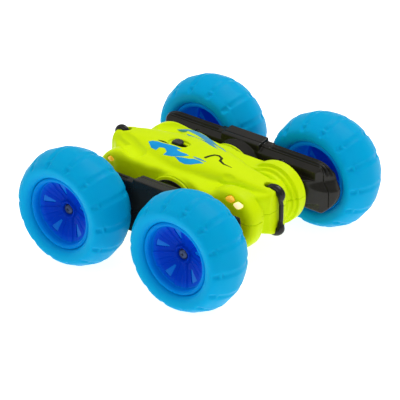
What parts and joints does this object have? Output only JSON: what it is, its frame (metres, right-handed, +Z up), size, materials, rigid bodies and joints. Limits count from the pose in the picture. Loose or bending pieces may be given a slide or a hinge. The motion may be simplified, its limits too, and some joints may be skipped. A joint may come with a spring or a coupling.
{
  "type": "remote control stunt car",
  "caption": "Double-sided stunt car: a body tumbles on side pivots between two arms, and each arm drives a pair of soft wheels through gears.",
  "frame": {"origin": "on the floor, under the middle of the car", "axes": "+X forward, +Y to the car's left along the wheel axles, +Z up"},
  "size_m": [0.1584, 0.1634, 0.072],
  "materials": {
    "lime_body": "satin moulded, bright yellow-green",
    "black_plastic": "glossy moulded",
    "tyre_blue": "soft translucent moulding, smooth",
    "rim_blue": "glossy translucent moulding",
    "steel": "plain machined or pressed",
    "nylon": "natural white moulding",
    "board": "solder-masked laminate",
    "cell_wrap": "shrink wrap",
    "lamp_lens": "clear amber moulding"
  },
  "bodies": {
    "body": {"upper_shell": "lime_body", "lower_shell": "lime_body", "battery_door": "lime_body", "battery_door_screw": "steel", "battery_cell": "cell_wrap", "receiver_board": "board", "switch_body": "black_plastic", "front_bumper": "black_plastic", "rear_bumper": "black_plastic", "front_left_lamp": "lamp_lens", "shell_screw_front_left": "steel", "front_right_lamp": "lamp_lens", "shell_screw_front_right": "steel", "rear_left_lamp": "lamp_lens", "shell_screw_rear_left": "steel", "rear_right_lamp": "lamp_lens", "shell_screw_rear_right": "steel"},
    "power_switch": {"switch_slider": "black_plastic"},
    "left_arm": {"left_arm_inner_shell": "black_plastic", "left_arm_outer_shell": "black_plastic", "left_drive_motor": "steel", "left_pivot_ring": "black_plastic", "left_front_idler_pin": "steel", "left_front_arm_screw": "steel", "left_rear_idler_pin": "steel", "left_rear_arm_screw": "steel"},
    "left_front_wheel": {"left_front_tyre": "tyre_blue", "left_front_rim": "rim_blue", "left_front_axle": "steel", "left_front_wheel_gear": "nylon", "left_front_wheel_screw": "steel"},
    "left_rear_wheel": {"left_rear_tyre": "tyre_blue", "left_rear_rim": "rim_blue", "left_rear_axle": "steel", "left_rear_wheel_gear": "nylon", "left_rear_wheel_screw": "steel"},
    "left_front_idler": {"left_front_idler_gear": "nylon"},
    "left_rear_idler": {"left_rear_idler_gear": "nylon"},
    "left_pinion": {"left_motor_pinion": "nylon"},
    "right_arm": {"right_arm_inner_shell": "black_plastic", "right_arm_outer_shell": "black_plastic", "right_drive_motor": "steel", "right_pivot_ring": "black_plastic", "right_front_idler_pin": "steel", "right_front_arm_screw": "steel", "right_rear_idler_pin": "steel", "right_rear_arm_screw": "steel"},
    "right_front_wheel": {"right_front_tyre": "tyre_blue", "right_front_rim": "rim_blue", "right_front_axle": "steel", "right_front_wheel_gear": "nylon", "right_front_wheel_screw": "steel"},
    "right_rear_wheel": {"right_rear_tyre": "tyre_blue", "right_rear_rim": "rim_blue", "right_rear_axle": "steel", "right_rear_wheel_gear": "nylon", "right_rear_wheel_screw": "steel"},
    "right_front_idler": {"right_front_idler_gear": "nylon"},
    "right_rear_idler": {"right_rear_idler_gear": "nylon"},
    "right_pinion": {"right_motor_pinion": "nylon"}
  },
  "joints": [
    {"name": "power_switch_slide", "type": "slide", "parent": "body", "child": "power_switch", "axis": [1, 0, 0], "range_m": [0, 0.003]},
    {"name": "left_arm_pivot", "type": "hinge", "parent": "body", "child": "left_arm", "pos_m": [0, 0.028, 0.036], "axis": [0, 1, 0], "continuous": true},
    {"name": "left_front_wheel_spin", "type": "hinge", "parent": "left_arm", "child": "left_front_wheel", "pos_m": [0.0432, 0.0655, 0.036], "axis": [0, 1, 0], "continuous": true},
    {"name": "left_rear_wheel_spin", "type": "hinge", "parent": "left_arm", "child": "left_rear_wheel", "pos_m": [-0.0432, 0.0655, 0.036], "axis": [0, 1, 0], "continuous": true},
    {"name": "left_front_idler_spin", "type": "hinge", "parent": "left_arm", "child": "left_front_idler", "pos_m": [0.0208, 0.04065, 0.036], "axis": [0, 1, 0], "continuous": true},
    {"name": "left_rear_idler_spin", "type": "hinge", "parent": "left_arm", "child": "left_rear_idler", "pos_m": [-0.0208, 0.04065, 0.036], "axis": [0, 1, 0], "continuous": true},
    {"name": "left_pinion_spin", "type": "hinge", "parent": "left_arm", "child": "left_pinion", "pos_m": [0, 0.04065, 0.036], "axis": [0, 1, 0], "continuous": true},
    {"name": "right_arm_pivot", "type": "hinge", "parent": "body", "child": "right_arm", "pos_m": [0, -0.028, 0.036], "axis": [0, 1, 0], "continuous": true},
    {"name": "right_front_wheel_spin", "type": "hinge", "parent": "right_arm", "child": "right_front_wheel", "pos_m": [0.0432, -0.0655, 0.036], "axis": [0, 1, 0], "continuous": true},
    {"name": "right_rear_wheel_spin", "type": "hinge", "parent": "right_arm", "child": "right_rear_wheel", "pos_m": [-0.0432, -0.0655, 0.036], "axis": [0, 1, 0], "continuous": true},
    {"name": "right_front_idler_spin", "type": "hinge", "parent": "right_arm", "child": "right_front_idler", "pos_m": [0.0208, -0.04065, 0.036], "axis": [0, 1, 0], "continuous": true},
    {"name": "right_rear_idler_spin", "type": "hinge", "parent": "right_arm", "child": "right_rear_idler", "pos_m": [-0.0208, -0.04065, 0.036], "axis": [0, 1, 0], "continuous": true},
    {"name": "right_pinion_spin", "type": "hinge", "parent": "right_arm", "child": "right_pinion", "pos_m": [0, -0.04065, 0.036], "axis": [0, 1, 0], "continuous": true}
  ],
  "couplings": [
    {"joint": "left_front_idler_spin", "follows": "left_front_wheel_spin", "ratio": -1},
    {"joint": "left_rear_idler_spin", "follows": "left_front_wheel_spin", "ratio": -1},
    {"joint": "left_pinion_spin", "follows": "left_front_wheel_spin", "ratio": 1.1667},
    {"joint": "left_rear_wheel_spin", "follows": "left_front_wheel_spin", "ratio": 1},
    {"joint": "right_front_idler_spin", "follows": "right_front_wheel_spin", "ratio": -1},
    {"joint": "right_rear_idler_spin", "follows": "right_front_wheel_spin", "ratio": -1},
    {"joint": "right_pinion_spin", "follows": "right_front_wheel_spin", "ratio": 1.1667},
    {"joint": "right_rear_wheel_spin", "follows": "right_front_wheel_spin", "ratio": 1}
  ]
}
